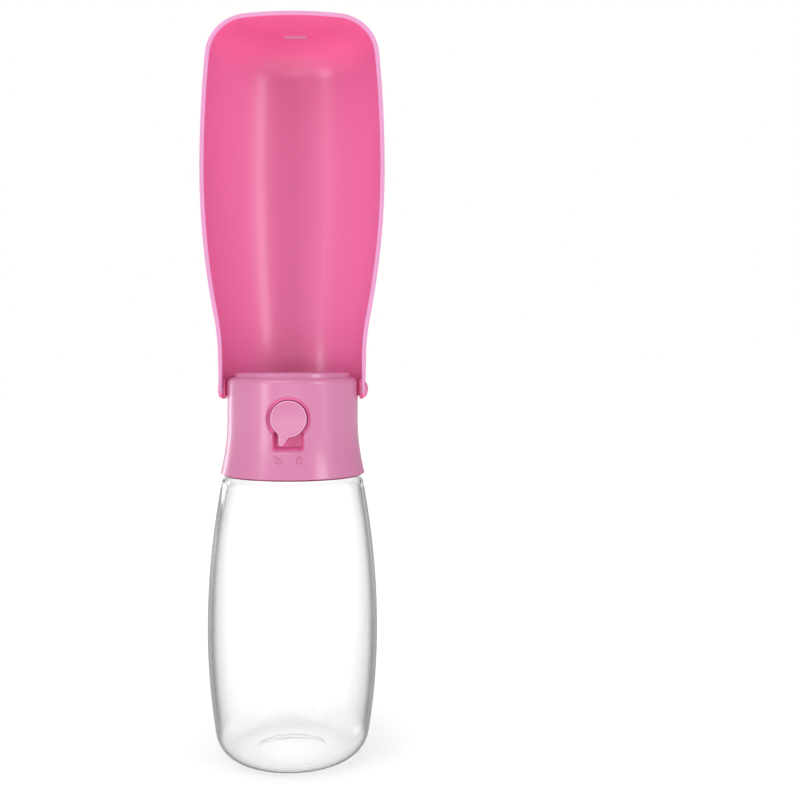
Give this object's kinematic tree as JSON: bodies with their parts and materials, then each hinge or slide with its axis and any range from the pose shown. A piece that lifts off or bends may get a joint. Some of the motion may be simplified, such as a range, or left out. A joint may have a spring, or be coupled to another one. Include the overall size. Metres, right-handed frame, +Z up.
{
  "type": "dog travel water bottle",
  "caption": "Clear travel bottle with a screwed head, a push valve with a turning lock, and a hinged drinking trough that folds down over the bottle.",
  "frame": {"origin": "centre of the bottle's base, on the surface that it stands on", "axes": "+Z up along the bottle; the hinge axis runs along X; the button faces -Y and the lanyard eye faces +Y"},
  "size_m": [0.0768, 0.0736, 0.309],
  "materials": {
    "clear_plastic": "clear and glossy",
    "pink_plastic": "satin gloss",
    "trough_plastic": "gloss",
    "rose_plastic": "satin",
    "white_plastic": "matte",
    "silicone": "matte translucent white",
    "rose_rubber": "matte",
    "steel": "fine brushed"
  },
  "bodies": {
    "bottle": {"bottle": "clear_plastic"},
    "seal_carrier": {"neck_seal": "silicone"},
    "head": {"head_shell": "pink_plastic", "top_deck": "pink_plastic", "deck_seal": "silicone", "deck_screws": "steel", "valve_body": "rose_plastic", "gland_ring": "silicone", "gland_bush": "white_plastic", "valve_seat": "silicone", "rear_cap": "white_plastic", "rear_cap_seal": "silicone", "guide_plate": "pink_plastic"},
    "lock": {"lock_sleeve": "white_plastic"},
    "button": {"button": "pink_plastic", "button_spring": "steel", "valve_stem": "steel", "valve_plug": "silicone", "plug_clip": "steel"},
    "trough": {"trough": "trough_plastic", "left_pin": "trough_plastic", "right_pin": "trough_plastic", "left_washer": "rose_rubber", "right_washer": "rose_rubber", "left_clip": "steel", "right_clip": "steel"}
  },
  "joints": [
    {"name": "head_lift", "type": "slide", "parent": "bottle", "child": "seal_carrier", "axis": [0, 0, 1], "range_m": [0, 0.001]},
    {"name": "head_turn", "type": "hinge", "parent": "seal_carrier", "child": "head", "pos_m": [0, 0, 0.12], "axis": [0, 0, 1], "range_deg": [0, 120]},
    {"name": "trough_hinge", "type": "hinge", "parent": "head", "child": "trough", "pos_m": [0, 0, 0.152], "axis": [1, 0, 0], "range_deg": [0, 180]},
    {"name": "button_turn", "type": "hinge", "parent": "head", "child": "lock", "pos_m": [0, -0.02, 0.141], "axis": [0, -1, 0], "range_deg": [0, 32]},
    {"name": "button_press", "type": "slide", "parent": "lock", "child": "button", "axis": [0, 1, 0], "range_m": [0, 0.0024], "stiffness_N_per_m": 1500, "springref_m": -0.002, "deforming": ["button_spring"]}
  ],
  "couplings": [
    {"joint": "head_lift", "follows": "head_turn", "m_per_rad": 0.00047746}
  ]
}
